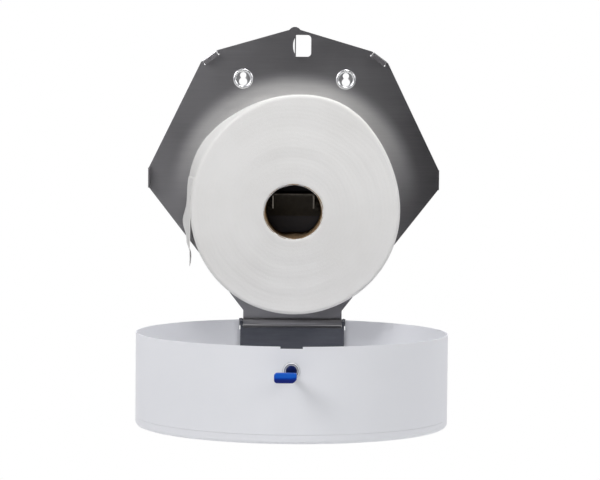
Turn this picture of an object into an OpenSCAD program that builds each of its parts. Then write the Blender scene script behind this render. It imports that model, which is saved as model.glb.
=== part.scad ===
// Jumbo toilet roll dispenser, wall mounted, shown open: steel backplate with a channel
// spindle, and a white drum cover that swings down on a hinge at the bottom.
// Frame: X to the right, -Y out of the wall, Z up. Origin: on the wall, on the roll's axis.

/* [Cover] */
// Outer diameter of the drum cover
cover_d = 310; // [300:1:330]
// Depth of the drum, from its open rim to its face
cover_depth = 92; // [90:1:110]
// Sheet thickness of the drum and of its face pan
cover_gauge = 1; // [0.8:0.1:1.4]
// Height of the face pan's turned edge
pan_h = 9; // [7:0.5:14]
// Outer radius of the face pan's edge
pan_edge_r = 4; // [2.5:0.5:5]
// Gap between the closed rim and the wall
rim_gap = 1; // [0.8:0.1:2]

/* [Backplate] */
// Sheet thickness of the backplate
plate_gauge = 1.2; // [1:0.1:1.5]
// Height of the drum's centre above the roll's axis when the cover is closed
drum_z = 36; // [30:1:40]
// Width of the neck that reaches down to the hinge
neck_w = 104; // [80:1:110]
// Height where the sloping lower edges meet the neck, below the roll's axis
neck_top = 108; // [100:1:112]
// Depth of the tabs that centre the cover
tab_out = 14; // [10:1:18]
// Length of each side tab
side_tab_len = 21; // [14:1:26]
// Length of each upper tab
tab_len = 17; // [12:1:19]
// Length of the cut corner that each upper tab stands in
corner_len = 21; // [20:1:26]
// Angle of the two upper tabs from the top
tab_angle = 36; // [30:1:42]
// Outward lean of the two upper tabs
tab_lean = 18; // [0:1:20]

/* [Wall fixing] */
// Distance between the two keyholes
keyhole_pitch = 108; // [90:1:120]
// Distance of the keyholes below the backplate's peak
keyhole_inset = 53.4; // [47.4:1:59.4]
// Radius of the keyhole's entry, which the screw's head passes
key_entry_r = 4.3; // [3.5:0.1:5]
// Radius of the keyhole's seat, where the screw's shank rests
key_seat_r = 3.3; // [2.5:0.1:3.4]
// Radius of the keyhole's raised ring
grommet_r = 10.6; // [9.5:0.1:12]
// Radius of the two lower screw holes
low_hole_r = 2.75; // [2:0.25:3.5]
// Depth of the lower screw holes below the roll's axis
low_hole_drop = 45; // [40:1:55]

/* [Spindle] */
// Width of the channel that the roll hangs on
spindle_w = 43; // [36:1:46]
// Depth of the channel's two sides
spindle_side = 15; // [10:1:18]
// Sheet thickness of the spindle
spindle_gauge = 1.5; // [1.2:0.1:2]

/* [Roll] */
// Outer diameter of the paper roll
roll_d = 216; // [150:1:218]
// Width of the roll
roll_w = 83; // [70:1:86]
// Inner radius of the cardboard core
core_r = 28.5; // [27:0.5:32]
// Wall of the cardboard core
core_wall = 1.5; // [1:0.1:2]
// How far the soft roll sits above the centre of its core
roll_lift = 6; // [0:0.5:6]
// Gap between the wall and the back of the roll
roll_back = 4; // [3.8:0.1:5]
// Length of the loose end of paper below the roll's axis
tail_drop = 57; // [20:1:70]
// Thickness of the loose end
tail_t = 0.8; // [0.6:0.1:1.2]

/* [Hinge] */
// Radius of the hinge pin
pin_r = 2; // [1.5:0.1:2.2]
// Wall of the rolled knuckle round the pin
knuckle_wall = 1.8; // [1.2:0.1:2]
// Depth of the pin below the closed drum
pin_drop = 1; // [0:0.5:2]
// Gap between the neck and each ear of the hinge strap
ear_play = 1.3; // [0.5:0.1:2.5]
// Sheet thickness of the hinge strap
strap_gauge = 1.2; // [1:0.1:1.5]
// Length of the strap along the drum
strap_len = 62; // [50:1:66]
// Depth of the gate in the drum's rim that the neck passes
gate_depth = 10.5; // [10:0.5:13]

/* [Lock] */
// Distance of the lock's centre from the rim
lock_inset = 22.6; // [22:0.1:25]
// Radius of the lock's ring
lock_ring_r = 8.2; // [7.6:0.1:9]
// Radius of the lock's threaded barrel
barrel_r = 6; // [5.5:0.1:6.5]
// Radius of the turning plug
plug_r = 4.6; // [4:0.1:5]
// Distance of the cam from the drum's outer face
cam_depth = 20; // [17:0.1:21]
// Thickness of the cam
cam_t = 2; // [1.5:0.1:2.5]
// Outer radius of the cam's hook
hook_r = 19.5; // [18.5:0.1:19.8]
// Length of the key's grip
grip_len = 22.5; // [18:0.5:28]
// Thickness of the key's grip
grip_t = 8; // [5:0.5:10]

/* [Paper exit] */
// Width of each exit window, round the drum
exit_w = 96; // [60:1:100]
// Angle of each window's middle from the drum's lowest line
exit_angle = 42; // [41:1:50]
// Distance of the windows from the rim
exit_inset = 30; // [28:1:36]
// Pitch of the teeth on the tear strips
tooth_pitch = 4; // [3:0.5:6]

/* [Hidden] */
$fn = 64;

steel = "#4b4b50";
zinc = "#b9bcc0";
white = "#e8e8ee";

// Clearances
fit = 0.05;
clear = 0.3;
plate_gap = 0.6;

// Fasteners
rivet_r = 2;
rivet_head = 1.7 * rivet_r;
rivet_head_t = 0.8;
cam_screw_r = 1.4;

// The closed drum
drum_r = cover_d / 2;
drum_in = drum_r - cover_gauge;
drum_low = drum_z - drum_r;

// The hinge's axis, and the open drum that hangs on it
knuckle_r = pin_r + knuckle_wall;
pin_y = -(plate_gauge / 2 + knuckle_r);
pin_z = drum_low - pin_drop;
rim_z = pin_z - rim_gap - pin_y;
cover_y = pin_y + pin_z - drum_low - drum_r;
near_y = cover_y - drum_r;
face_z = rim_z - cover_depth;
seam = 0.15;
sleeve_h = pan_h - pan_edge_r - 0.5;
band_h = cover_depth - pan_h;

// The hinge strap, which lies inside the drum
hinge_w = neck_w + 2 * (ear_play + strap_gauge);
strap_out = drum_in - fit;
strap_in = strap_out - strap_gauge;
ear_in = hinge_w / 2 - strap_gauge;
ear_r = -pin_y - clear;
strap_top = rim_z - gate_depth + 1.5;
strap_end_y = cover_y + sqrt(pow(strap_in, 2) - pow(hinge_w / 2, 2));
cheek_h = 3.5;
cheek_lap = 0.9;
pin_head = 1.4;
pin_tail = 3.4;
clip_t = 1.6;
strap_rivet_turns = [-16, -6, 6, 16];
strap_rivet_rows = [0.5, 0.85];
gate_w = hinge_w + 2;
heel_top = pin_z - ear_r - 1.2;
heel_h = 3;
stop_y = -(plate_gauge + clear);
bump_r = 7;
bump_rise = 1.4;
notch_w = 3 * bump_r;
notch_h = 2;

// The backplate's outline
plate_r = drum_in - plate_gap;
tip_r = drum_in - 2 * plate_gap;
upper_r = tip_r - tab_out * sin(tab_lean);
bend_gap = 0.3;
relief_r = 0.9;
side_drop = 4.5;
side_r = sqrt(pow(plate_r, 2) - pow(side_drop + side_tab_len / 2, 2)) - 0.1;

// The strike, a tab of the backplate that the cam's hook catches
strike_z = drum_z + drum_r - cam_depth;
strike_w = 22.8;
hook_hub_r = 6.4;
hook_w = 5;
strike_out = lock_inset + rim_gap - hook_hub_r - 2.5;
strike_lip = 3.5;
strike_hole = 17;
window_w = 16;
window_r = 4;
hollow_r = 19;
hollow_x = -1.9;

// The keyholes
keyhole_z = drum_z + plate_r - keyhole_inset;
entry_z = -2.9;
seat_z = 3.7;
key_neck_w = 4.8;
ring_bead = 1.6;

// The lock and its cam
lock_z = rim_z - lock_inset;
ring_t = 1.6;
ring_slope = 1.1;
hook_start = 75;
hook_sweep = 50;
arm_sweep = 25;
washer_y = near_y + cover_gauge + 0.35;
washer_t = 0.8;
nut_t = 3.5;
nut_r = 9.2;
cam_y = near_y + cam_depth - cam_t / 2;
barrel_end = cam_y - 1;
tang = 5;
socket_r = 2.7;
socket_depth = 9;
bit_r = 2.4;
shank_r = 5.3;
shank_len = 17;
grip_out = 18;
grip_drop = 5;
grip_left = grip_len * 0.71;
grip_corner = 3;

// The spindle and what hangs on it
spindle_top = sqrt(pow(core_r - clear, 2) - pow(spindle_w / 2, 2));
spindle_end = -(roll_back + roll_w - 3);
foot_w = spindle_w + 18;
foot_h = 26;
foot_gauge = 1.2;
foot_rows = [-0.5, -0.85];
foot_margin = 4.5;
core_out = core_r + core_wall;
roll_r = roll_d / 2;
roll_front = -(roll_back + roll_w);
sweep_r = roll_r + roll_lift + 1;

// The exit windows
exit_top = rim_z - exit_inset;
exit_low = rim_z - band_h + sleeve_h + 3;
exit_h = exit_top - exit_low;
tear_t = 0.8;
tear_w = 12;
tooth_h = 3;
tear_in = drum_in - fit - tear_t;

module rod_x(r, x0, x1) {
    translate([x0, 0, 0]) rotate([0, 90, 0]) cylinder(r = r, h = x1 - x0);
}

module rod_y(r, y0, y1) {
    translate([0, y0, 0]) rotate([-90, 0, 0]) cylinder(r = r, h = y1 - y0);
}

// A flat shape drawn in X and Z, from the depth y1 towards the wall to y0 in front of it
module slab(y0, y1) {
    translate([0, y1, 0]) rotate([90, 0, 0]) linear_extrude(height = y1 - y0) children();
}

module both_sides() {
    children();
    mirror([1, 0, 0]) children();
}

// A ring sector of the drum's wall, bounded by a shape drawn in X and Z on its far side
module drum_patch(r_in, r_out, turn) {
    translate([0, cover_y, 0]) intersection() {
        translate([0, 0, face_z]) difference() {
            cylinder(r = r_out, h = cover_depth, $fn = 128);
            translate([0, 0, -1]) cylinder(r = r_in, h = cover_depth + 2, $fn = 128);
        }
        rotate([0, 0, turn]) slab(drum_r / 2, drum_r + 1) children();
    }
}

module rounded_box(w, h, r) {
    for (x = [-1, 1], z = [-1, 1]) translate([x * (w / 2 - r), z * (h / 2 - r)]) circle(r);
    square([w - 2 * r, h], center = true);
    square([w, h - 2 * r], center = true);
}

module keyhole() {
    translate([0, entry_z]) circle(key_entry_r);
    translate([0, seat_z]) circle(key_seat_r);
    translate([-key_neck_w / 2, entry_z]) square([key_neck_w, seat_z - entry_z]);
}

// The backplate's corners: two on each cut corner at an upper tab, then the side tab's two
function on_corner(along) = [
    tip_r * sin(tab_angle) + along * cos(tab_angle),
    drum_z + tip_r * cos(tab_angle) - along * sin(tab_angle)
];

function half_outline() = [
    [0, drum_z + plate_r],
    on_corner(-corner_len / 2),
    on_corner(corner_len / 2),
    [side_r, drum_z - side_drop + side_tab_len / 2],
    [side_r, drum_z - side_drop - side_tab_len / 2],
    [neck_w / 2, -neck_top],
    [neck_w / 2, heel_top],
    [hinge_w / 2, heel_top],
    [hinge_w / 2, heel_top - heel_h],
    [0, heel_top - heel_h]
];

// The slot that an upper tab is bent out of, with a round relief at each end of its bend
module bend_slot() {
    translate([-tab_len / 2 - bend_gap, upper_r]) square([tab_len + 2 * bend_gap, tab_out]);
    for (x = [-1, 1]) translate([x * (tab_len / 2 + bend_gap), upper_r]) circle(relief_r);
}

module plate_shape() {
    difference() {
        union() {
            polygon(half_outline());
            mirror([1, 0]) polygon(half_outline());
            translate([0, drum_z + plate_r + bump_rise - bump_r]) circle(bump_r);
        }
        translate([window_w / 2 + plate_gauge, strike_z]) {
            rounded_box(window_w, strike_w, window_r);
            translate([-window_w / 2, -strike_w / 2]) square([window_w / 2, strike_w]);
        }
        intersection() {
            translate([hollow_x + hollow_r, strike_z]) circle(hollow_r);
            translate([hollow_x - 1, strike_z - strike_hole / 2]) square([window_w / 2, strike_hole]);
        }
        for (side = [-1, 1]) translate([0, drum_z]) rotate(side * tab_angle) bend_slot();
        for (x = [-1, 1]) {
            translate([x * keyhole_pitch / 2, keyhole_z]) circle(grommet_r - 1);
            translate([x * keyhole_pitch / 2, -low_hole_drop]) circle(low_hole_r);
        }
        foot_rivet_places() circle(rivet_r);
    }
}

module tab(turn, r, lean, length) {
    translate([0, 0, drum_z]) rotate([0, turn, 0]) translate([0, -plate_gauge / 2, r])
        rotate([-lean, 0, 0]) translate([-length / 2, -tab_out, -plate_gauge])
            cube([length, tab_out, plate_gauge]);
}

module backplate() {
    color(steel) difference() {
        union() {
            slab(-plate_gauge, 0) plate_shape();
            for (side = [-1, 1]) {
                tab(side * tab_angle, upper_r, tab_lean, tab_len);
                translate([0, 0, -side_drop]) tab(side * 90, side_r, 0, side_tab_len);
            }
            translate([0, -strike_out, strike_z - strike_w / 2])
                cube([plate_gauge, strike_out, strike_w]);
            translate([0, pin_y, pin_z]) rod_x(knuckle_r, -neck_w / 2, neck_w / 2);
        }
        translate([-1, -strike_out + strike_lip, strike_z - strike_hole / 2])
            cube([plate_gauge + 2, strike_out - strike_lip - plate_gauge / 2, strike_hole]);
        translate([0, pin_y, pin_z]) rod_x(pin_r + fit, -neck_w, neck_w);
    }
}

// Zinc grommets round the keyholes
module keyhole_grommets() {
    color(zinc) for (x = [-1, 1]) translate([x * keyhole_pitch / 2, 0, keyhole_z]) {
        difference() {
            rod_y(grommet_r - 1 - fit, -plate_gauge, 0);
            slab(-plate_gauge - 1, 1) keyhole();
        }
        difference() {
            translate([0, -plate_gauge, 0]) rotate([90, 0, 0]) rotate_extrude()
                translate([grommet_r - ring_bead, 0]) intersection() {
                    circle(ring_bead);
                    translate([-ring_bead, 0]) square([2 * ring_bead, ring_bead]);
                }
            slab(-plate_gauge - 1, 1) keyhole();
        }
    }
}

module foot_rivet_places() {
    for (x = [-1, 1], row = foot_rows)
        translate([x * (foot_w / 2 - foot_margin), spindle_top + row * foot_h + 4]) children();
}

module spindle() {
    color(steel) {
        difference() {
            union() {
                slab(spindle_end, -plate_gauge) translate([-spindle_w / 2, spindle_top - spindle_side])
                    square([spindle_w, spindle_side]);
                slab(-plate_gauge - foot_gauge, -plate_gauge)
                    translate([-foot_w / 2, spindle_top - foot_h]) square([foot_w, foot_h]);
            }
            slab(spindle_end - 1, -plate_gauge - foot_gauge)
                translate([-spindle_w / 2 + spindle_gauge, spindle_top - spindle_side - 1])
                    square([spindle_w - 2 * spindle_gauge, spindle_side + 1 - spindle_gauge]);
            slab(-plate_gauge - foot_gauge - 1, 0) foot_rivet_places() circle(rivet_r);
        }
    }
}

module spindle_rivets() {
    color(zinc) {
        slab(-plate_gauge - foot_gauge, -0.1) foot_rivet_places() circle(rivet_r);
        slab(-plate_gauge - foot_gauge - rivet_head_t, -plate_gauge - foot_gauge)
            foot_rivet_places() circle(rivet_head);
    }
}

module hinge_pin() {
    color(zinc) translate([0, pin_y, pin_z]) {
        rod_x(pin_r, -hinge_w / 2 - pin_tail, hinge_w / 2 + pin_head / 2);
        rod_x(ear_r - clear, hinge_w / 2, hinge_w / 2 + pin_head);
    }
}

module pin_clips() {
    color(zinc) translate([0, pin_y, pin_z]) difference() {
        rod_x(ear_r - clear, -hinge_w / 2 - clip_t, -hinge_w / 2);
        rod_x(pin_r, -hinge_w, hinge_w);
    }
}

module exit_shape(grow) {
    translate([0, (exit_top + exit_low) / 2]) rounded_box(exit_w + grow, exit_h + grow, 5);
}

module cover_band() {
    color(white) difference() {
        translate([0, cover_y, rim_z]) rotate_extrude($fn = 128) polygon([
            [drum_in, 0],
            [drum_r, 0],
            [drum_r, -band_h],
            [drum_in - fit, -band_h],
            [drum_in - fit, -band_h - sleeve_h],
            [drum_in - fit - cover_gauge, -band_h - sleeve_h],
            [drum_in - fit - cover_gauge, -band_h + sleeve_h],
            [drum_in, -band_h + sleeve_h + cover_gauge]
        ]);
        translate([-gate_w / 2, cover_y + drum_r / 2, rim_z - gate_depth])
            cube([gate_w, drum_r, gate_depth + 1]);
        translate([-notch_w / 2, near_y - 1, rim_z - notch_h]) cube([notch_w, 20, notch_h + 1]);
        translate([0, 0, lock_z]) rod_y(barrel_r + fit, near_y - 5, near_y + 20);
        for (side = [-1, 1]) translate([0, cover_y, 0]) rotate([0, 0, side * exit_angle])
            slab(drum_r / 2, drum_r + 1) exit_shape(0);
        strap_rivet_places() rod_y(rivet_r, drum_in - 5, drum_r + 5);
        tear_rivet_places() rod_y(rivet_r, drum_in - 5, drum_r + 5);
    }
}

module pan_section(inset) {
    translate([0, inset]) square([drum_r - pan_edge_r, pan_h]);
    translate([0, pan_edge_r]) square([drum_r - inset, pan_h]);
    translate([drum_r - pan_edge_r, pan_edge_r]) circle(pan_edge_r - inset);
}

module cover_face() {
    color(white) translate([0, cover_y, face_z]) rotate_extrude($fn = 128)
        intersection() {
            difference() {
                pan_section(0);
                pan_section(cover_gauge);
            }
            square([drum_r, pan_h - seam]);
        }
}

// The ear's outline, in Y and Z, on the hinge's axis
module ear_shape() {
    difference() {
        union() {
            translate([pin_y, pin_z]) circle(ear_r);
            translate([strap_end_y - cheek_h, rim_z - gate_depth + 0.5])
                square([pin_y - strap_end_y + cheek_h, gate_depth - 1 - clear]);
            translate([strap_end_y - cheek_h, strap_top - strap_len])
                square([cheek_h + cheek_lap, strap_len + 2]);
            translate([pin_y - 2, heel_top - heel_h]) square([stop_y - pin_y + 2, heel_h]);
            translate([pin_y - 2, heel_top - heel_h]) square([4, ear_r + heel_h]);
        }
        translate([pin_y, pin_z]) circle(pin_r);
    }
}

module strap_rivet_places() {
    for (turn = strap_rivet_turns, row = strap_rivet_rows)
        translate([0, cover_y, strap_top - row * strap_len]) rotate([0, 0, turn]) children();
}

module hinge_strap() {
    color(steel) difference() {
        union() {
            drum_patch(strap_in, strap_out, 0)
                translate([-hinge_w / 2, strap_top - strap_len]) square([hinge_w, strap_len]);
            for (x = [-hinge_w / 2, ear_in])
                translate([x, 0, 0]) rotate([90, 0, 90]) linear_extrude(height = strap_gauge)
                    ear_shape();
        }
        strap_rivet_places() rod_y(rivet_r, strap_in - 5, drum_r + 5);
    }
}

module strap_rivets() {
    color(zinc) strap_rivet_places() {
        rod_y(rivet_r, strap_in + 0.1, drum_r + 0.2);
        rod_y(rivet_head, strap_in - rivet_head_t, strap_in - 0.05);
        rod_y(rivet_r, strap_in - 0.1, strap_in + 0.2);
    }
}

module tear_rivet_places() {
    for (side = [-1, 1], z = [0.2, 0.8])
        translate([0, cover_y, exit_low + z * exit_h])
            rotate([0, 0, side * (exit_angle + asin(exit_w / 2 / drum_in) + 3)]) children();
}

// The toothed edge of a tear strip, standing at x = 0 and pointing to -X
module teeth_shape() {
    count = floor((exit_h - 6) / tooth_pitch);
    start = -count * tooth_pitch / 2;
    polygon(concat(
        [[tear_w, -start], [tear_w, start]],
        [for (i = [0:count - 1], k = [0, 1])
            [-tooth_h * k, start + (i + k / 2) * tooth_pitch]],
        [[0, -start]]
    ));
}

module tear_strips() {
    color(zinc) both_sides() difference() {
        drum_patch(tear_in, drum_in - fit, -exit_angle)
            translate([exit_w / 2 + 0.5, (exit_top + exit_low) / 2]) teeth_shape();
        tear_rivet_places() rod_y(rivet_r, drum_in - 5, drum_r + 5);
    }
}

module tear_rivets() {
    color(zinc) tear_rivet_places() {
        rod_y(rivet_r, tear_in, drum_r + 0.2);
        rod_y(rivet_head, tear_in - rivet_head_t, tear_in - 0.02);
        rod_y(rivet_r, tear_in - 0.1, tear_in + 0.1);
    }
}

module lock_barrel() {
    color("#d6d8dc") translate([0, 0, lock_z]) difference() {
        union() {
            translate([0, near_y, 0]) rotate([90, 0, 0]) cylinder(
                r1 = lock_ring_r, r2 = lock_ring_r - ring_slope, h = ring_t);
            rod_y(barrel_r, near_y - 0.5, barrel_end);
        }
        rod_y(plug_r + fit, near_y - 5, near_y + 40);
    }
}

module lock_washer() {
    color(zinc) translate([0, 0, lock_z]) difference() {
        rod_y(nut_r + 0.6, washer_y, washer_y + washer_t);
        rod_y(barrel_r + fit, near_y, near_y + 40);
    }
}

module lock_nut() {
    color(zinc) translate([0, 0, lock_z]) difference() {
        translate([0, washer_y + washer_t, 0]) rotate([-90, 0, 0])
            cylinder(r = nut_r, h = nut_t, $fn = 6);
        rod_y(barrel_r + fit, near_y, near_y + 40);
    }
}

module lock_plug() {
    color("#33373f") translate([0, 0, lock_z]) difference() {
        union() {
            rod_y(plug_r, near_y - 0.6, cam_y - 0.2);
            translate([-tang / 2, near_y + 10, -tang / 2])
                cube([tang, cam_y + cam_t - near_y - 10, tang]);
        }
        rod_y(socket_r, near_y - 5, near_y - 0.6 + socket_depth);
        rod_y(cam_screw_r, cam_y - 4, near_y + 40);
    }
}

// The cam: a hub, an arm, and a hook that follows an arc about the lock's axis
module cam_sector(from, sweep) {
    reach = 2 * hook_r;
    polygon([
        [0, 0],
        [reach * sin(from), reach * cos(from)],
        [reach * sin(from + sweep / 2), reach * cos(from + sweep / 2)],
        [reach * sin(from + sweep), reach * cos(from + sweep)]
    ]);
}

module cam_shape() {
    circle(hook_hub_r);
    intersection() {
        circle(hook_r);
        cam_sector(hook_start + hook_sweep, arm_sweep);
    }
    intersection() {
        difference() {
            circle(hook_r);
            circle(hook_r - hook_w);
        }
        cam_sector(hook_start, hook_sweep + 1);
    }
}

module lock_cam() {
    color(zinc) translate([0, 0, lock_z]) difference() {
        slab(cam_y, cam_y + cam_t) cam_shape();
        slab(cam_y - 1, cam_y + cam_t + 1) square(tang + 2 * fit, center = true);
    }
}

module cam_washer() {
    color(zinc) translate([0, 0, lock_z]) difference() {
        rod_y(5.4, cam_y + cam_t, cam_y + cam_t + washer_t);
        rod_y(cam_screw_r + fit, cam_y, near_y + 40);
    }
}

module cam_screw() {
    head = cam_y + cam_t + washer_t;
    color(zinc) translate([0, 0, lock_z]) difference() {
        union() {
            rod_y(cam_screw_r, cam_y - 3.5, head + 0.5);
            translate([0, head, 0]) rotate([-90, 0, 0]) cylinder(r1 = 3.4, r2 = 2.8, h = 2);
        }
        for (turn = [0, 90]) translate([0, head + 1.2, 0]) rotate([0, turn, 0])
            translate([-2, 0, -0.4]) cube([4, 2, 0.8]);
    }
}

module grip_shape() {
    translate([grip_len / 2 - grip_left, -grip_drop]) rounded_box(grip_len, grip_t, grip_corner);
}

module key() {
    shoulder = near_y - ring_t - clear;
    color("#1545c8") translate([0, 0, lock_z]) {
        rod_y(bit_r, shoulder - 1, near_y + socket_depth - 2);
        rod_y(shank_r, shoulder - shank_len, shoulder);
        slab(shoulder - shank_len - grip_out, shoulder - shank_len + 1) grip_shape();
    }
}

module roll_core() {
    color("#8a5a34") difference() {
        rod_y(core_out, roll_front, -roll_back);
        rod_y(core_r, roll_front - 1, 0);
    }
}

module paper_roll() {
    color("#f1f0ee") difference() {
        translate([0, 0, roll_lift]) rod_y(roll_r, roll_front, -roll_back);
        rod_y(core_out, roll_front - 1, 0);
    }
}

// How far left the loose end lies at a height: straight down, then curling in round the roll
function tail_x(z) = -min(roll_r + clear + tail_t, sqrt(pow(sweep_r, 2) - pow(z, 2)));

// The loose end leaves the roll at its left and hangs
module paper_tail() {
    levels = [for (n = [0:8]) roll_lift - (roll_lift + tail_drop) * n / 8];
    color("#f1f0ee") slab(roll_front + 1, -roll_back - 1) polygon(concat(
        [for (z = levels) [tail_x(z), z]],
        [for (n = [8:-1:0]) [tail_x(levels[n]) + tail_t, levels[n]]]
    ));
}

backplate();
keyhole_grommets();
spindle();
spindle_rivets();
hinge_pin();
pin_clips();
cover_band();
cover_face();
hinge_strap();
strap_rivets();
tear_strips();
tear_rivets();
lock_barrel();
lock_washer();
lock_nut();
lock_plug();
lock_cam();
cam_washer();
cam_screw();
key();
roll_core();
paper_roll();
paper_tail();
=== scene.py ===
"""Looks for a wall-mounted jumbo toilet roll dispenser, shown open with its roll on the spindle.

Frame: X right, -Y out of the wall to the viewer, Z up, metres, origin on the wall at the roll's axis.
"""

import math

import bmesh
import bpy
from mathutils import Matrix, Vector, noise


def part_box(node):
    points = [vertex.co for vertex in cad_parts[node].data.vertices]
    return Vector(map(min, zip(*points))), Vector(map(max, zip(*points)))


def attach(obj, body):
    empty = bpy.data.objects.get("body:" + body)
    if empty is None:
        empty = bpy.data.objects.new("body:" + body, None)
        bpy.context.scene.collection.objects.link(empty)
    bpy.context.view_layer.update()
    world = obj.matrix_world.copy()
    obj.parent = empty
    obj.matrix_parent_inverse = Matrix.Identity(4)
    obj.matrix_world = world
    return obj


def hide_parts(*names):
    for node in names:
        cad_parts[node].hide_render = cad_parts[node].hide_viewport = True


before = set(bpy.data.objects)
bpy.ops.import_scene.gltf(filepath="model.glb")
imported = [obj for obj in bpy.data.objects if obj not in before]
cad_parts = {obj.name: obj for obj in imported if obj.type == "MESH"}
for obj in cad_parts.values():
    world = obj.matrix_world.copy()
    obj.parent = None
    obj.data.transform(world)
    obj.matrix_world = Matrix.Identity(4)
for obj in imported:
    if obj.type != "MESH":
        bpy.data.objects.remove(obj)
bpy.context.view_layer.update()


# Sizes that the pieces share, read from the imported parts

core_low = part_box("roll_core")[0]
roll_low, roll_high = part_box("paper_roll")
tail_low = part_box("paper_tail")[0]
key_low, key_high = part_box("key")
barrel_low, barrel_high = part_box("lock_barrel")
cover_low, cover_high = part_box("cover_band")
spindle_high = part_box("spindle")[1]
ROLL_BACK = roll_high.y
ROLL_FRONT = roll_low.y
LOCK_Z = (barrel_low.z + barrel_high.z) / 2

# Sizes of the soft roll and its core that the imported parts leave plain

CORE_WALL = 0.0015
CORE_MOUTH = ROLL_FRONT + 0.0012
ROUND_BORE = 0.0285
ROLL_EDGE = 0.0018
FACE_INSET = 0.0007
LIP_BACK = ROLL_FRONT + 0.0024


# Shader and geometry nodes


def set_stops(ramp, stops):
    """Gives a colour ramp its (position, colour) stops."""
    while len(ramp.elements) < len(stops):
        ramp.elements.new(0.5)
    for element, (position, colour) in zip(ramp.elements, stops):
        element.position = position
        element.color = (*colour, 1)


def add_node(tree, kind, settings=(), inputs=()):
    """A node with its settings, then the numbers, colours or links of its sockets."""
    made = tree.nodes.new(kind)
    for name, setting in dict(settings).items():
        if name == "stops":
            set_stops(made.color_ramp, setting)
        else:
            setattr(made, name, setting)
    for name, given in dict(inputs).items():
        if isinstance(given, Value):
            given = given.socket
        if isinstance(given, bpy.types.NodeSocket):
            tree.links.new(given, made.inputs[name])
        else:
            made.inputs[name].default_value = given
    return made


class Value:
    """A number that varies over a surface. Sums and products of values add Math nodes."""

    def __init__(self, finish, socket):
        self.finish = finish
        self.socket = socket

    def math(self, operation, *others):
        inputs = dict(enumerate((self,) + others))
        made = self.finish.node("ShaderNodeMath", {"operation": operation}, inputs)
        return Value(self.finish, made.outputs[0])

    def __add__(self, other):
        return self.math("ADD", other)

    def __radd__(self, other):
        return self.math("ADD", other)

    def __sub__(self, other):
        return self.math("SUBTRACT", other)

    def __rsub__(self, other):
        return self * -1 + other

    def __mul__(self, other):
        return self.math("MULTIPLY", other)

    def __rmul__(self, other):
        return self.math("MULTIPLY", other)

    def power(self, exponent):
        return self.math("POWER", exponent)

    def sine(self):
        return self.math("SINE")

    def size(self):
        return self.math("ABSOLUTE")

    def step(self, low, high):
        """0 below low, 1 above high, and a smooth rise between them."""
        settings = {"interpolation_type": "SMOOTHSTEP"}
        inputs = {"Value": self, "From Min": low, "From Max": high}
        made = self.finish.node("ShaderNodeMapRange", settings, inputs)
        return Value(self.finish, made.outputs["Result"])


class Finish:
    """One material: a Principled shader with its constants, and the nodes that vary it."""

    def __init__(self, name, **constants):
        self.material = bpy.data.materials.new(name)
        self.material.use_nodes = True
        self.tree = self.material.node_tree
        self.tree.nodes.clear()
        self.shader = self.node("ShaderNodeBsdfPrincipled", {}, constants)
        output = self.tree.nodes.new("ShaderNodeOutputMaterial")
        self.tree.links.new(self.shader.outputs[0], output.inputs["Surface"])
        self.place = self.node("ShaderNodeTexCoord", {}, {}).outputs["Object"]

    def node(self, kind, settings, inputs):
        return add_node(self.tree, kind, settings, inputs)

    def axes(self, names="XYZ"):
        """The place on the piece as values in metres, one for each axis named."""
        split = self.node("ShaderNodeSeparateXYZ", {}, {0: self.place})
        return [Value(self, split.outputs[name]) for name in names]

    def noise(self, scale, detail=3.0, stretch=(1, 1, 1)):
        """Soft noise from 0 to 1; scale is in features a metre, and stretch thins it by axis."""
        moved = self.node("ShaderNodeMapping", {}, {"Vector": self.place, "Scale": stretch})
        inputs = {"Vector": moved.outputs[0], "Scale": scale, "Detail": detail}
        return Value(self, self.node("ShaderNodeTexNoise", {}, inputs).outputs["Fac"])

    def ramp(self, amount, stops):
        """A colour that follows amount through stops of (position, colour)."""
        made = self.node("ShaderNodeValToRGB", {"stops": stops}, {"Fac": amount})
        return made.outputs["Color"]

    def blend(self, amount, first, second):
        """The first colour where amount is 0 and the second where it is 1."""
        inputs = {"Factor": amount, 6: first, 7: second}
        made = self.node("ShaderNodeMix", {"data_type": "RGBA"}, inputs)
        return made.outputs[2]

    def feed(self, name, given):
        """Links a value or a colour to one of the shader's sockets."""
        socket = given.socket if isinstance(given, Value) else given
        self.tree.links.new(socket, self.shader.inputs[name])

    def bump(self, height, depth):
        """Relief: height runs from 0 to 1, and depth is its height in metres."""
        made = self.node("ShaderNodeBump", {}, {"Height": height, "Distance": depth})
        self.feed("Normal", made.outputs[0])


# Materials


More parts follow.
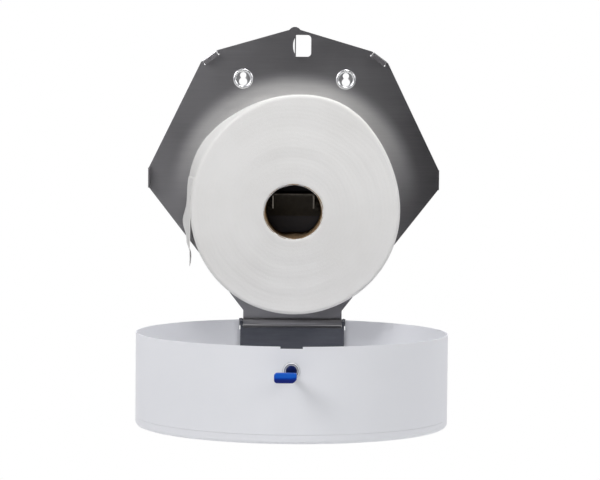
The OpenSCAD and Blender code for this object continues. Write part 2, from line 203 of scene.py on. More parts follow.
def steel_finish():
    """The backplate's bare satin steel.

    It is cloudy from the mill. Painted light and shade: lighter to the left and darker to the right,
    at the right corner, at the neck and behind the core, and a painted reflection of the roll round
    its top.
    """
    steel = Finish("satin_steel", Metallic=1.0)
    x, y, z = steel.axes()
    clouds = steel.noise(9, 3)
    streaks = steel.noise(14, 3, (1, 1, 0.35))
    grain = steel.noise(90, 4, (0.25, 1, 7))
    specks = steel.noise(1600, 2)
    ring_height = 0.011
    radius = (x.power(2) + (z - ring_height).power(2)).power(0.5)
    front_face = 1 - y.step(-0.0011, -0.0006)
    # Painted reflection: a bright halo on the front face round the roll's upper half.
    painted_halo = (1 - radius.step(0.118, 0.136)) * z.step(-0.010, 0.090) * front_face
    # Painted shade: darker at the right corner.
    corner = x.step(0.085, 0.150)
    # Painted shade: darker on the plate behind the core.
    painted_core_shade = (1 - radius.step(0.028, 0.045)) * front_face
    # Painted shade: darker at the neck, towards the bottom.
    neck = 1 - z.step(-0.110, -0.050)
    tone = clouds * 0.26 + streaks * 0.14 + grain * 0.10 + specks * 0.06
    # Painted light and shade: lighter to the left, darker to the right and at the right corner, darker
    # at the neck and behind the core, with the bright halo round the roll.
    tone = tone + 0.05 - x * 0.70 - corner * 0.17 + painted_halo * 0.62 - neck * 0.15 - painted_core_shade * 0.75
    steel.feed("Base Color", steel.ramp(tone, [
        (0.00, (0.150, 0.145, 0.152)),
        (0.50, (0.505, 0.498, 0.515)),
        (1.00, (0.960, 0.952, 0.945)),
    ]))
    steel.feed("Roughness", 0.27 + grain * 0.05 + clouds * 0.08)
    steel.bump(grain * 0.7 + specks * 0.3, 0.00003)
    return steel.material


def spindle_finish():
    """The raw, low-gloss steel of the spindle and its rivets, with painted shade along the top of the
    spindle.
    """
    raw = Finish("raw_steel", Metallic=0.8)
    (z,) = raw.axes("Z")
    clouds = raw.noise(40, 3)
    grain = raw.noise(160, 3, (1, 0.3, 1))
    # Painted shade: darker along the top of the spindle inside the core.
    shaded = z.step(spindle_high.z - 0.0026, spindle_high.z - 0.0018)
    raw.feed("Base Color", raw.ramp(clouds * 0.6 + grain * 0.4 - shaded * 0.45, [
        (0.00, (0.030, 0.026, 0.020)),
        (0.30, (0.120, 0.108, 0.090)),
        (0.70, (0.210, 0.190, 0.160)),
    ]))
    raw.feed("Roughness", 0.42 + grain * 0.14)
    raw.bump(grain, 0.00002)
    return raw.material


def dark_steel_finish():
    """The hinge's steel, darker and bluer than the backplate's."""
    hinge_steel = Finish("dark_hinge_steel", Metallic=1.0)
    clouds = hinge_steel.noise(22, 3)
    grain = hinge_steel.noise(120, 3, (0.3, 1, 6))
    tone = clouds * 0.65 + grain * 0.35
    hinge_steel.feed("Base Color", hinge_steel.ramp(tone, [
        (0.30, (0.095, 0.100, 0.118)),
        (0.70, (0.155, 0.160, 0.182)),
    ]))
    hinge_steel.feed("Roughness", 0.36 + grain * 0.12)
    hinge_steel.bump(grain, 0.00002)
    return hinge_steel.material


def paint_finish():
    """The cover's white powder coat, with its orange peel."""
    paint = Finish("white_powder_coat", **{"Specular IOR Level": 0.4})
    clouds = paint.noise(12, 2)
    peel = paint.noise(750, 2)
    paint.feed("Base Color", paint.ramp(clouds * 0.8 + peel * 0.2, [
        (0.25, (0.788, 0.792, 0.822)),
        (0.75, (0.822, 0.826, 0.852)),
    ]))
    paint.feed("Roughness", 0.34 + peel * 0.12)
    paint.bump(peel, 0.00002)
    return paint.material


def zinc_finish():
    """Bright zinc plate on rivets, pins and grommets."""
    zinc = Finish("bright_zinc", Metallic=1.0)
    bloom = zinc.noise(260, 3)
    wear = zinc.noise(1500, 2)
    zinc.feed("Base Color", zinc.ramp(bloom, [
        (0.35, (0.740, 0.745, 0.760)),
        (0.65, (0.880, 0.885, 0.890)),
    ]))
    zinc.feed("Roughness", 0.22 + bloom * 0.16)
    zinc.bump(wear, 0.00001)
    return zinc.material


def chrome_finish():
    """The lock's chrome ring, with faint turning marks, and painted shade in dark lines at its groove
    and round its rim.
    """
    chrome = Finish("lock_chrome", Metallic=0.45)
    x, z = chrome.axes("XZ")
    radius = (x.power(2) + (z - LOCK_Z).power(2)).power(0.5)
    turning = (radius * 14000).sine()
    smudge = chrome.noise(300, 2)
    groove_radius = 0.0064
    groove = 1 - (radius - groove_radius).size().step(0.0002, 0.0005)
    rim = radius.step(0.0074, 0.0079)
    bright = chrome.ramp(smudge, [
        (0.3, (0.860, 0.865, 0.875)),
        (0.7, (0.940, 0.942, 0.948)),
    ])
    # Painted shade: dark lines at the groove and round the rim.
    shade = groove * 0.8 + rim * 0.55
    chrome.feed("Base Color", chrome.blend(shade, bright, (0.10, 0.11, 0.13, 1)))
    chrome.feed("Roughness", 0.24 + smudge * 0.10)
    chrome.bump(turning * 0.5 + 0.5, 0.000004)
    return chrome.material


def plug_finish():
    """The lock's plug, coloured near-black as painted shade in the lock's bore."""
    plug = Finish("lock_plug_metal", Metallic=0.9)
    mottle = plug.noise(700, 3)
    # Painted shade: near-black for the shade inside the lock's bore.
    plug.feed("Base Color", plug.ramp(mottle, [
        (0.3, (0.020, 0.024, 0.045)),
        (0.7, (0.055, 0.060, 0.090)),
    ]))
    plug.feed("Roughness", 0.30 + mottle * 0.15)
    plug.bump(mottle, 0.00001)
    return plug.material


def key_finish():
    """The key's moulded blue plastic, with painted light and shade: lighter on top, deeper blue in its
    lower half.
    """
    blue = Finish("key_blue_plastic", **{"Specular IOR Level": 0.10})
    (z,) = blue.axes("Z")
    flow = blue.noise(120, 3, (1, 1, 0.4))
    grain = blue.noise(2500, 2)
    # Painted light and shade: lighter in the upper half, deeper blue below.
    upper = z.step(key_low.z + 0.0035, key_low.z + 0.0075)
    blue.feed("Base Color", blue.ramp(upper * 0.75 + flow * 0.25, [
        (0.10, (0.0004, 0.008, 0.160)),
        (0.55, (0.0006, 0.040, 0.340)),
        (0.95, (0.0010, 0.085, 0.440)),
    ]))
    blue.feed("Roughness", 0.40 + grain * 0.12)
    blue.bump(grain, 0.000015)
    return blue.material


def shaded_blue_finish():
    """A darker copy of the key's blue for its hub and stem: painted shade."""
    shaded_blue = Finish("key_shaded_blue_plastic", **{"Specular IOR Level": 0.15})
    flow = shaded_blue.noise(160, 3)
    # Painted shade: the key's blue made darker for the hub and stem.
    shaded_blue.feed("Base Color", shaded_blue.ramp(flow, [
        (0.30, (0.002, 0.006, 0.050)),
        (0.70, (0.004, 0.014, 0.095)),
    ]))
    shaded_blue.feed("Roughness", 0.24 + flow * 0.12)
    shaded_blue.bump(flow, 0.00001)
    return shaded_blue.material


def cardboard_finish():
    """The core's brown board: spiral ply seams and short fibres."""
    board = Finish("core_cardboard", **{"Specular IOR Level": 0.25})
    x, y, z = board.axes()
    turn = z.math("ARCTAN2", x)
    spiral = (turn + y * 88).sine()
    seam = (spiral - 0.93).step(0.0, 0.06)
    fibres = board.noise(500, 4, (1, 0.25, 1))
    blotches = board.noise(60, 3)
    colour = board.ramp(fibres * 0.55 + blotches * 0.45, [
        (0.28, (0.165, 0.105, 0.055)),
        (0.50, (0.285, 0.190, 0.105)),
        (0.74, (0.430, 0.310, 0.185)),
    ])
    board.feed("Base Color", board.blend(seam * 0.55, colour, (0.090, 0.045, 0.020, 1)))
    board.feed("Roughness", 0.72 + fibres * 0.2)
    board.bump(fibres * 0.6 + (1 - seam) * 0.4, 0.00012)
    return board.material


def tissue_finish():
    """Soft white tissue: wound edges on the roll's faces and creping on its sides."""
    tissue = Finish("white_tissue", **{"Specular IOR Level": 0.15, "Sheen Weight": 0.12})
    x, z = tissue.axes("XZ")
    radius = (x.power(2) + z.power(2)).power(0.5)
    wander = tissue.noise(26, 3)
    layers = ((radius + wander * 0.010) * 1500).sine()
    bands = tissue.noise(18, 3)
    fibres = tissue.noise(1500, 3)
    creping = tissue.noise(420, 3, (1, 0.12, 1))
    relief = layers * 0.05 + fibres * 0.5 + creping * 0.3
    tissue.feed("Base Color", tissue.ramp(bands * 0.7 + relief * 0.3, [
        (0.20, (0.722, 0.708, 0.686)),
        (0.50, (0.768, 0.756, 0.738)),
        (0.85, (0.798, 0.788, 0.774)),
    ]))
    tissue.feed("Roughness", 0.86 + fibres * 0.1)
    tissue.bump(relief, 0.00022)
    return tissue.material


def floor_finish():
    """A pale floor that meets the white background and still takes a soft shadow."""
    floor = Finish("pale_floor", **{"Base Color": (0.9, 0.9, 0.9, 1), "Roughness": 0.8})
    seen = floor.node("ShaderNodeLightPath", {}, {})
    direct = Value(floor, seen.outputs["Is Camera Ray"])
    mirrored = Value(floor, seen.outputs["Is Glossy Ray"])
    through = Value(floor, seen.outputs["Is Transmission Ray"])
    share = (direct + mirrored + through).math("MINIMUM", 1.0) * 0.86
    glow = floor.node("ShaderNodeEmission", {}, {"Color": (1, 1, 1, 1), "Strength": 1.06})
    mix = floor.node(
        "ShaderNodeMixShader", {}, {0: share, 1: floor.shader.outputs[0], 2: glow.outputs[0]}
    )
    output = next(n for n in floor.tree.nodes if n.type == "OUTPUT_MATERIAL")
    floor.tree.links.new(mix.outputs[0], output.inputs["Surface"])
    return floor.material


STEEL = steel_finish()
RAW_STEEL = spindle_finish()
DARK_STEEL = dark_steel_finish()
PAINT = paint_finish()
ZINC = zinc_finish()
CHROME = chrome_finish()
PLUG = plug_finish()
BLUE = key_finish()
SHADED_BLUE = shaded_blue_finish()
BOARD = cardboard_finish()
TISSUE = tissue_finish()

NODE_FINISH = {
    "backplate": STEEL,
    "spindle": RAW_STEEL,
    "hinge_strap": DARK_STEEL,
    "keyhole_grommets": ZINC,
    "spindle_rivets": RAW_STEEL,
    "hinge_pin": DARK_STEEL,
    "pin_clips": DARK_STEEL,
    "strap_rivets": ZINC,
    "tear_strips": ZINC,
    "tear_rivets": ZINC,
    "lock_washer": ZINC,
    "lock_nut": ZINC,
    "lock_cam": ZINC,
    "cam_washer": ZINC,
    "cam_screw": ZINC,
    "cover_band": PAINT,
    "cover_face": PAINT,
    "lock_barrel": CHROME,
    "lock_plug": PLUG,
    "key": BLUE,
    "roll_core": BOARD,
    "paper_roll": TISSUE,
    "paper_tail": TISSUE,
}


def paint_node(name, material):
    """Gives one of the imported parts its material."""
    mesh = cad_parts[name].data
    mesh.materials.clear()
    mesh.materials.append(material)


for node_name, node_material in NODE_FINISH.items():
    paint_node(node_name, node_material)


# Mesh helpers


def mesh_object(name, vertices, faces, material, rounded=True):
    """A clean mesh with one material; rounded shades it smooth."""
    mesh = bpy.data.meshes.new(name)
    mesh.from_pydata(vertices, [], faces)
    made = bpy.data.objects.new(name, mesh)
    bpy.context.scene.collection.objects.link(made)
    shape = bmesh.new()
    shape.from_mesh(mesh)
    bmesh.ops.remove_doubles(shape, verts=shape.verts, dist=1e-6)
    bmesh.ops.recalc_face_normals(shape, faces=shape.faces)
    shape.to_mesh(mesh)
    shape.free()
    for face in mesh.polygons:
        face.use_smooth = rounded
    mesh.materials.append(material)
    return made


def turns(around):
    """Angles once round a circle."""
    return [2 * math.pi * n / around for n in range(around)]


def on_circle(radius, turn, y):
    """A place at a radius and an angle about the roll's axis."""
    return radius * math.cos(turn), y, radius * math.sin(turn)


def ring_faces(rings, around, closed=True):
    """Quads between rings of points laid out in turn; closed joins the last ring to the first."""
    faces = []
    for r in range(rings if closed else rings - 1):
        for a in range(around):
            b = (a + 1) % around
            after = (r + 1) % rings
            faces.append((r * around + a, r * around + b, after * around + b, after * around + a))
    return faces


def turned_piece(name, place, rings, material, around=48):
    """A solid turned about an axis along Y: rings are (radius, depth behind place) pairs."""
    points = []
    for radius, depth in rings:
        for turn in turns(around):
            x, y, z = on_circle(radius, turn, place[1] + depth)
            points.append((place[0] + x, y, place[2] + z))
    faces = ring_faces(len(rings), around, closed=False)
    faces.append(tuple(range(around)))
    faces.append(tuple(range(len(points) - 1, len(points) - around - 1, -1)))
    return mesh_object(name, points, faces, material)


def smooth(low, high, value):
    """0 below low, 1 above high, and a smooth rise between them."""
    share = min(1.0, max(0.0, (value - low) / (high - low)))
    return share * share * (3 - 2 * share)


def hump(turn, centre, before, after):
    """A smooth hump from 0 to 1 about a centre in degrees, with a half width before and after it."""
    away = (math.degrees(turn) - centre + 180) % 360 - 180
    width = before if away < 0 else after
    return math.exp(-((away / width) ** 2))


# The roll


def roll_radius(turn, share):
    """The soft roll's outline, from share 0 at the front to 1 at the wall.

    The front stands high at the upper right, and the back has slipped to the upper left.
    The last windings by the wall keep clear of the hinge.
    """
    least = 0.1048
    right_bulge = 0.0042
    top_rise = 0.0155
    back_slip = 0.0090
    clear_of_hinge = 0.1157
    front = least + right_bulge * ((1 + math.cos(turn)) / 2) ** 4 + top_rise * hump(turn, 73, 36, 60)
    slipped = front + back_slip * min(1.0, share / 0.7) * hump(turn, 148, 30, 34)
    clear = min(slipped, clear_of_hinge)
    return slipped + (clear - slipped) * smooth(0.78, 0.90, share)


def core_radius(turn):
    """The core's mouth, pressed a little flat by the roll's weight."""
    tilt = 0.10
    half_width = 0.0292
    half_height = 0.0268
    x, z = math.cos(turn - tilt), math.sin(turn - tilt)
    return 1 / math.sqrt((x / half_width) ** 2 + (z / half_height) ** 2)


def bore_radius(turn, deep):
    """The core's bore some way behind its mouth: it is round again from 1.6 mm in."""
    round_again = smooth(0.0, 0.0016, deep)
    return core_radius(turn) * (1 - round_again) + ROUND_BORE * round_again


def face_wave(radius, turn, seed):
    """How far the wound edge stands out at a place on the roll's face."""
    place = Vector((radius * 60, math.cos(turn) * 0.8, math.sin(turn) * 0.8 + seed))
    layer = noise.noise(Vector((radius * 420, seed, 0.3)))
    return 0.0005 * noise.noise(place) + 0.00016 * layer


def roll_inner(part, turn):
    """Where the tissue ends at the core. On the front it lies over part of the core's rim."""
    inner = ROUND_BORE + CORE_WALL * 1.1
    if part == "front":
        open_edge = 0.15 + 0.75 * hump(turn, 305, 40, 40)
        inner = core_radius(turn) + CORE_WALL * open_edge
    return inner + 0.0003 * noise.noise(Vector((turn * 3, 0, 4)))


def side_point(along, turn):
    """Radius and depth on the roll's side, from its front edge to its back edge."""
    depth = ROLL_BACK - ROLL_FRONT
    y = ROLL_FRONT + ROLL_EDGE + along * (depth - 2 * ROLL_EDGE)
    radius = roll_radius(turn, along)
    radius += 0.0004 * noise.noise(Vector((math.cos(turn) * 2, math.sin(turn) * 2, y * 30)))
    return radius, y


def face_point(part, along, turn):
    """Radius and depth on the front or back face, from the core to the rounded outer edge."""
    inner = roll_inner(part, turn)
    outer = roll_radius(turn, 0 if part == "front" else 1)
    radius = inner + (outer - inner) * along
    bend_start = 0.978
    bend = max(0.0, (along - bend_start) / 0.022)
    inset = ROLL_EDGE * (1 - math.sqrt(max(0.0, 1 - bend * bend)))
    tuck = 0.0012 * (1 - smooth(0.0, 0.03, along))
    wave = face_wave(radius, turn, 1.7 if part == "front" else 5.1) * (1 - bend)
    if part == "front":
        return radius, ROLL_FRONT + FACE_INSET + inset + wave + tuck
    return radius, ROLL_BACK - FACE_INSET - inset - wave


def make_roll():
    """The wound tissue: front face, side, back face and the bore round the core."""
    around = 192
    steps_out = 44
    steps_deep = 28
    rings = [("front", n / steps_out) for n in range(steps_out + 1)]
    rings += [("side", n / steps_deep) for n in range(1, steps_deep)]
    rings += [("back", 1 - n / steps_out) for n in range(steps_out + 1)]
    rings += [("bore", 0.0)]
    points = []
    for part, along in rings:
        for turn in turns(around):
            if part == "side":
                radius, y = side_point(along, turn)
            elif part == "bore":
                radius, y = roll_inner(part, turn), LIP_BACK
            else:
                radius, y = face_point(part, along, turn)
            points.append(on_circle(radius, turn, y))
    roll = mesh_object("tissue_roll", points, ring_faces(len(rings), around), TISSUE)
    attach(roll, "roll")
    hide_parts("paper_roll")


def core_point(wall, along, turn):
    """A place on the core: wall is 0 on its bore and 1 outside, along runs from its mouth back.

    The mouth is ragged and opens a little, and the bore is pressed in at the bottom.
    """
    flare = 0.0008
    flare_depth = 0.0030
    crush = 0.0042
    crush_depth = 0.0450
    x, z = math.cos(turn), math.sin(turn)
    ragged = 0.0009 * noise.noise(Vector((x * 3.1, z * 3.1, 0.4)))
    ragged += 0.0004 * noise.noise(Vector((x * 11, z * 11, 2.2)))
    y = CORE_MOUTH + ragged * (1 - along) ** 6 + along * (ROLL_BACK - CORE_MOUTH)
    y = max(y, core_low.y)
    deep = y - CORE_MOUTH
    dent = 0.0006 * noise.noise(Vector((x * 2.4, z * 2.4, y * 25)))
    open_out = flare * (1 - smooth(0, flare_depth, deep)) * (1 - wall)
    pressed = crush * hump(turn, 272, 22, 22) * smooth(0, crush_depth, deep) * (1 - wall)
    radius = bore_radius(turn, deep) + dent * (1 - along)
    radius += wall * (CORE_WALL - 0.0002) + open_out - pressed
    return on_circle(radius, turn, y)


def make_core():
    """The cardboard core, in rings that lie closer at its ends."""
    around = 144
    steps = [0, 0.01, 0.02, 0.036, 0.06, 0.1, 0.2, 0.35, 0.5, 0.65, 0.8, 0.9, 1]
    rings = [(0.0, step) for step in steps] + [(1.0, step) for step in reversed(steps)]
    points = [core_point(wall, along, turn) for wall, along in rings for turn in turns(around)]
    core = mesh_object("core_tube", points, ring_faces(len(rings), around), BOARD)
    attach(core, "roll")
    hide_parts("roll_core")


def between(pairs, value):
    """The number that belongs to value, on a smooth line through (value, number) pairs."""
    for (low, first), (high, second) in zip(pairs, pairs[1:]):
        if value <= high:
            return first + (second - first) * smooth(low, high, value)
    return pairs[-1][1]


TAIL_THICKNESS = 0.0004
TAIL_LEAVES = -0.105
TAIL_FRONT = -0.1054
TAIL_SIDES = [
    (-0.050, -0.1062),
    (-0.034, -0.1118),
    (-0.012, -0.1163),
    (0.010, -0.1150),
    (0.040, -0.1080),
]


def tail_point(share, z):
    """A place on the loose end: share runs from its front edge to its back edge.

    It lies on the roll above, and below it hangs by the heights and sides in TAIL_SIDES.
    """
    turn = math.atan2(z, TAIL_LEAVES)
    lies = -math.sqrt(roll_radius(turn, share * 0.9) ** 2 - z * z) - 0.0003
    hangs = TAIL_FRONT + (between(TAIL_SIDES, z) - TAIL_FRONT) * share ** 0.8
    x = lies + (hangs - lies) * smooth(-0.020, 0.015, -z)
    y = tail_low.y + 0.0015 + (-0.012 - tail_low.y) * share
    return x + 0.0004 * noise.noise(Vector((y * 45, z * 30, 1.3))), y, z


def make_tail():
    """The loose end: it leaves the roll's left side, bows out at the back and ends in a slant."""
    top = 0.034
    down = 48
    across = 24
    points = []
    for n in range(down + 1):
        for m in range(across + 1):
            share = m / across
            end = tail_low.z + 0.013 * share ** 1.3
            points.append(tail_point(share, top + (end - top) * n / down))
    faces = []
    row = across + 1
    for n in range(down):
        for m in range(across):
            a = n * row + m
            faces.append((a, a + 1, a + row + 1, a + row))
    tail = mesh_object("tissue_tail", points, faces, TISSUE)
    solid = tail.modifiers.new("thickness", "SOLIDIFY")
    solid.thickness = TAIL_THICKNESS
    solid.offset = 0
    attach(tail, "roll")
    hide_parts("paper_tail")


make_roll()
make_core()
make_tail()


# The hinge


def make_shade_fillers():
    """A dark plate inside each ear, which fills the play between the ear and the neck: a dark sheet
    that stands in for the shade in that gap.
    """
    strap_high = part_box("hinge_strap")[1]
    pin_low, pin_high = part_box("pin_clips")
    pin_y = (pin_low.y + pin_high.y) / 2
    pin_z = (pin_low.z + pin_high.z) / 2
    eye = 0.0036
    ear_gauge = 0.0012
    play = 0.00005
    thickness = 0.0011
    tongue_y = -0.0160
    bottom = pin_z - 0.0064
    outline = []
    for n in range(13):
        turn = math.radians(-50 + 200 * n / 12)
        outline.append((pin_y + eye * math.cos(turn), pin_z + eye * math.sin(turn)))
    outline += [(tongue_y, pin_z + 0.0022), (tongue_y, bottom), (pin_y, bottom)]
    count = len(outline)
    for side, name in ((-1, "shade_filler_left"), (1, "shade_filler_right")):
        outer = side * (strap_high.x - ear_gauge - play)
        inner = side * (strap_high.x - ear_gauge - play - thickness)
        points = [(x, y, z) for x in (outer, inner) for y, z in outline]
        faces = [tuple(range(count)), tuple(range(2 * count - 1, count - 1, -1))]
        faces += [(n, (n + 1) % count, count + (n + 1) % count, count + n) for n in range(count)]
        # Painted shade: a dark sheet in the gap beside each ear.
        shade_filler = mesh_object(name, points, faces, DARK_STEEL, rounded=False)
        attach(shade_filler, "cover")


make_shade_fillers()


# Rivets


def rivet_group():
    """Puts a domed rivet head on each point: its foot there, its dome along the point's facing."""
    group = bpy.data.node_groups.new("rivet_heads", "GeometryNodeTree")
    group.interface.new_socket("Geometry", in_out="INPUT", socket_type="NodeSocketGeometry")
    group.interface.new_socket("Radius", in_out="INPUT", socket_type="NodeSocketFloat")
    group.interface.new_socket("Height", in_out="INPUT", socket_type="NodeSocketFloat")
    group.interface.new_socket("Finish", in_out="INPUT", socket_type="NodeSocketMaterial")
    group.interface.new_socket("Geometry", in_out="OUTPUT", socket_type="NodeSocketGeometry")

    def node(kind, settings=(), inputs=()):
        return add_node(group, kind, settings, inputs)

    start = node("NodeGroupInput")
    ball = node("GeometryNodeMeshUVSphere", {}, {"Segments": 24, "Rings": 12, "Radius": 1.0})
    place = node("GeometryNodeInputPosition")
    split = node("ShaderNodeSeparateXYZ", {}, {0: place.outputs[0]})
    below = node(
        "FunctionNodeCompare", {"operation": "LESS_THAN"}, {0: split.outputs["Z"], 1: -0.01}
    )
    dome = node("GeometryNodeDeleteGeometry", {}, {
        "Geometry": ball.outputs["Mesh"],
        "Selection": below.outputs[0],
    })
    smooth_dome = node("GeometryNodeSetShadeSmooth", {}, {0: dome.outputs[0]})
    size = node("ShaderNodeCombineXYZ", {}, {
        0: start.outputs["Radius"],
        1: start.outputs["Radius"],
        2: start.outputs["Height"],
    })
    facing = node(
        "GeometryNodeInputNamedAttribute", {"data_type": "FLOAT_VECTOR"}, {"Name": "facing"}
    )
    turned = node("FunctionNodeAlignEulerToVector", {"axis": "Z"}, {"Vector": facing.outputs[0]})
    heads = node("GeometryNodeInstanceOnPoints", {}, {
        "Points": start.outputs["Geometry"],
        "Instance": smooth_dome.outputs[0],
        "Rotation": turned.outputs[0],
        "Scale": size.outputs[0],
    })
    real = node("GeometryNodeRealizeInstances", {}, {0: heads.outputs[0]})
    painted = node("GeometryNodeSetMaterial", {}, {
        "Geometry": real.outputs[0],
        "Material": start.outputs["Finish"],
    })
    node("NodeGroupOutput", {}, {0: painted.outputs[0]})
    return group


RIVETS = rivet_group()


def make_rivets(name, places, radius, height, material, body):
    """Domed heads at (point, facing) places, as one plain mesh."""
    mesh = bpy.data.meshes.new(name + "_points")
    mesh.from_pydata([point for point, facing in places], [], [])
    facing = mesh.attributes.new("facing", "FLOAT_VECTOR", "POINT")
    for n, (point, normal) in enumerate(places):
        facing.data[n].vector = normal
    seeds = bpy.data.objects.new(name + "_points", mesh)
    bpy.context.scene.collection.objects.link(seeds)
    grown = seeds.modifiers.new("rivets", "NODES")
    grown.node_group = RIVETS
    given = {"Radius": radius, "Height": height, "Finish": material}
    for item in RIVETS.interface.items_tree:
        if item.in_out == "INPUT" and item.name in given:
            grown[item.identifier] = given[item.name]
    bpy.context.view_layer.update()
    done = seeds.evaluated_get(bpy.context.evaluated_depsgraph_get())
    heads = bpy.data.objects.new(name, bpy.data.meshes.new_from_object(done))
    bpy.context.scene.collection.objects.link(heads)
    bpy.data.objects.remove(seeds)
    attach(heads, body)


def islands(node_name):
    """The boxes of a node's separate solids, as (low, high) pairs."""
    shape = bmesh.new()
    shape.from_mesh(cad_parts[node_name].data)
    bmesh.ops.remove_doubles(shape, verts=shape.verts, dist=1e-6)
    shape.verts.ensure_lookup_table()
    seen = set()
    found = []
    for first in shape.verts:
        if first.index in seen:
            continue
        seen.add(first.index)
        queue = [first]
        members = []
        while queue:
            vertex = queue.pop()
            members.append(vertex.co.copy())
            for edge in vertex.link_edges:
                other = edge.other_vert(vertex)
                if other.index not in seen:
                    seen.add(other.index)
                    queue.append(other)
        low = Vector([min(place[n] for place in members) for n in range(3)])
        high = Vector([max(place[n] for place in members) for n in range(3)])
        found.append((low, high))
    shape.free()
    return found


def band_places(node_name, radius):
    """Where a drum's rivets stand on its wall at a radius, facing out."""
    axis_y = (cover_low.y + cover_high.y) / 2
    places = []
    for low, high in islands(node_name):
        middle = (low + high) / 2
        out = Vector((middle.x, middle.y - axis_y, 0)).normalized()
        foot = Vector((0, axis_y, middle.z)) + out * radius
        places.append((foot, out))
    return places


def make_all_rivets():
    """Domed heads outside the drum, and on the spindle's foot inside the core."""
    sunk = 0.00005
    outer = (cover_high.x - cover_low.x) / 2
    for node_name, radius in (("strap_rivets", 0.0036), ("tear_rivets", 0.0034)):
        places = band_places(node_name, outer - sunk)
        make_rivets(node_name + "_outside", places, radius, 0.0011, PAINT, "cover")
    places = []
    for low, high in islands("spindle_rivets"):
        middle = (low + high) / 2
        places.append((Vector((middle.x, low.y + 0.0002, middle.z)), Vector((0, -1, 0))))
    make_rivets("spindle_rivets_domed", places, 0.0034, 0.0006, RAW_STEEL, "frame")


make_all_rivets()


# The key


def soften(made, width):
    """Rounds the sharp edges of a piece."""
    bevel = made.modifiers.new("soft_edges", "BEVEL")
    bevel.width = width
    bevel.segments = 4
    bevel.limit_method = "ANGLE"


def make_grip():
    """A moulded grip with a ridge along its front, cut back at its corners."""
    chamfer = 0.0018
    long_chamfer = 0.0034
    narrow = 0.62
    left = key_low.x
    right = key_high.x - 0.0014
    back = key_low.y + 0.0105
    front = key_low.y
    low = key_low.z + 0.0006
    high = key_low.z + 0.0103
    middle = low + (high - low) * 0.48
    profile = [
        (back, low + 0.0008),
        (front + 0.0042, low),
        (front, middle),
        (front + 0.0038, high),
        (back, high),
    ]
    sides = [
        (left, chamfer, narrow),
        (left + chamfer, 0.0, 1.0),
        (right - long_chamfer, 0.0, 1.0),
        (right, long_chamfer, narrow),
    ]
    points = []
    for x, lift, scale in sides:
        for y, z in profile:
            points.append((x, y, low + lift + (z - low) * scale))
    count = len(profile)
    faces = [tuple(range(count)), tuple(range(4 * count - 1, 3 * count - 1, -1))]
    for s in range(3):
        for n in range(count):
            m = (n + 1) % count
            faces.append((s * count + n, s * count + m, (s + 1) * count + m, (s + 1) * count + n))
    grip = mesh_object("key_grip", points, faces, BLUE, rounded=False)
    soften(grip, 0.0014)
    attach(grip, "key")
    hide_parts("key")


def make_hub_and_stem():
    """A round hub in the lock's ring, and the stem between it and the grip."""
    hub_face = barrel_low.y - 0.0020
    hub = turned_piece("key_hub", (0, hub_face, LOCK_Z), [
        (0.0040, 0.0),
        (0.0049, 0.0005),
        (0.0053, 0.0014),
        (0.0053, 0.0030),
        (0.0030, 0.0031),
        (0.0030, 0.0120),
    ], SHADED_BLUE)
    stem_start = key_low.y + 0.0090
    stem_drop = 0.0055
    stem = turned_piece("key_stem", (0.0, stem_start, LOCK_Z - stem_drop), [
        (0.0026, 0.0),
        (0.0030, 0.0006),
        (0.0030, hub_face + 0.0015 - stem_start),
    ], SHADED_BLUE)
    for piece in (hub, stem):
        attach(piece, "key")


make_grip()
make_hub_and_stem()


# Stage, lamps and camera


def make_floor():
    """A wide floor well below the drum."""
    side = 2.0
    near = -2.2
    far = 0.9
    level = -0.60
    corners = [(-side, near, level), (side, near, level), (side, far, level), (-side, far, level)]
    mesh = bpy.data.meshes.new("floor")
    mesh.from_pydata(corners, [], [(0, 1, 2, 3)])
    floor = bpy.data.objects.new("floor", mesh)
    bpy.context.scene.collection.objects.link(floor)
    mesh.materials.append(floor_finish())


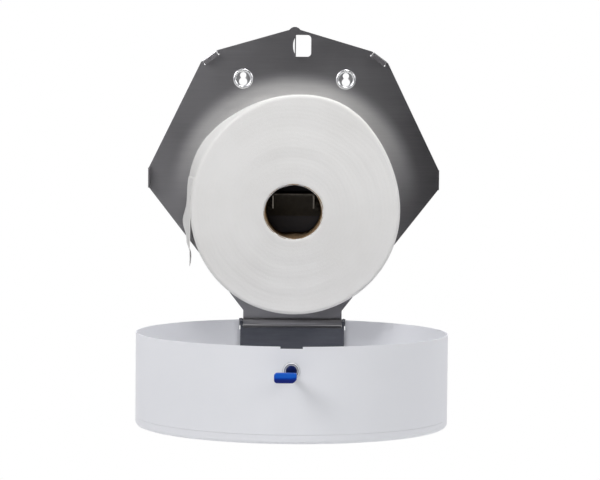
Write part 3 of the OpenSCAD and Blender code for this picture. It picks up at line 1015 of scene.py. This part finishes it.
def make_world():
    """White to the camera. Gloss sees white behind the object, and before it a dim room."""
    world = bpy.data.worlds.new("studio")
    bpy.context.scene.world = world
    world.use_nodes = True
    tree = world.node_tree
    tree.nodes.clear()

    def node(kind, settings=(), inputs=()):
        return add_node(tree, kind, settings, inputs)

    def mapped(value, low, high, first, last):
        ends = {"Value": value, "From Min": low, "From Max": high, "To Min": first, "To Max": last}
        return node("ShaderNodeMapRange", {}, ends).outputs[0]

    path = node("ShaderNodeLightPath")
    place = node("ShaderNodeTexCoord")
    split = node("ShaderNodeSeparateXYZ", {}, {0: place.outputs["Generated"]})
    across = mapped(split.outputs["X"], -0.45, 0.12, 0.46, 0.02)
    behind = mapped(split.outputs["Y"], -0.45, 0.15, 0.0, 1.0)
    shade = node("ShaderNodeMix", {}, {"Factor": behind, 2: across, 3: 1.0})
    ambient = node("ShaderNodeBackground", {}, {"Color": (0.94, 0.96, 1.0, 1), "Strength": 0.29})
    room = node("ShaderNodeBackground", {}, {
        "Color": (0.97, 0.965, 1.0, 1),
        "Strength": shade.outputs[0],
    })
    white = node("ShaderNodeBackground", {}, {"Color": (1, 1, 1, 1)})
    for_gloss = node("ShaderNodeMixShader", {}, {
        0: path.outputs["Is Glossy Ray"],
        1: ambient.outputs[0],
        2: room.outputs[0],
    })
    straight = node("ShaderNodeMath", {"operation": "MAXIMUM"}, {
        0: path.outputs["Is Camera Ray"],
        1: path.outputs["Is Transmission Ray"],
    })
    final = node("ShaderNodeMixShader", {}, {
        0: straight.outputs[0],
        1: for_gloss.outputs[0],
        2: white.outputs[0],
    })
    node("ShaderNodeOutputWorld", {}, {"Surface": final.outputs[0]})


def aim(thing, place, target):
    """Puts a lamp at a place and turns it to a target."""
    thing.location = place
    thing.rotation_mode = "QUATERNION"
    thing.rotation_quaternion = (Vector(target) - Vector(place)).to_track_quat("-Z", "Y")


def make_lamp(name, place, size, watts):
    """A white rectangular lamp that shines at the middle of the dispenser."""
    lamp = bpy.data.lights.new(name, "AREA")
    lamp.shape = "RECTANGLE"
    lamp.size, lamp.size_y = size
    lamp.energy = watts
    made = bpy.data.objects.new(name, lamp)
    bpy.context.scene.collection.objects.link(made)
    aim(made, place, (0, -0.1, -0.02))


def make_camera():
    """The photograph's camera: where it stood, how it was turned, and its focal length."""
    camera = bpy.data.cameras.new("camera")
    camera.sensor_width = 36
    camera.lens = 154.19
    camera.clip_start, camera.clip_end = 0.05, 50
    made = bpy.data.objects.new("camera", camera)
    bpy.context.scene.collection.objects.link(made)
    made.location = (0.0041, -2.7086, 0.1118)
    pitch = math.radians(90 - 3.068)
    yaw = math.radians(-0.068)
    roll = math.radians(0.531)
    looking = Matrix.Rotation(yaw, 3, "Z") @ Matrix.Rotation(pitch, 3, "X")
    turned = looking @ Matrix.Rotation(roll, 3, "Z")
    made.rotation_mode = "QUATERNION"
    made.rotation_quaternion = turned.to_quaternion()
    bpy.context.scene.camera = made


make_floor()
make_world()
make_lamp("key_lamp", (-1.35, -1.45, 1.05), (0.9, 0.9), 21)
make_lamp("fill_lamp", (1.9, -1.6, 1.1), (1.2, 1.2), 20)
make_lamp("top_lamp", (0.25, -0.15, 1.5), (1.0, 0.4), 15)
make_camera()

bpy.context.scene.view_settings.view_transform = "Standard"
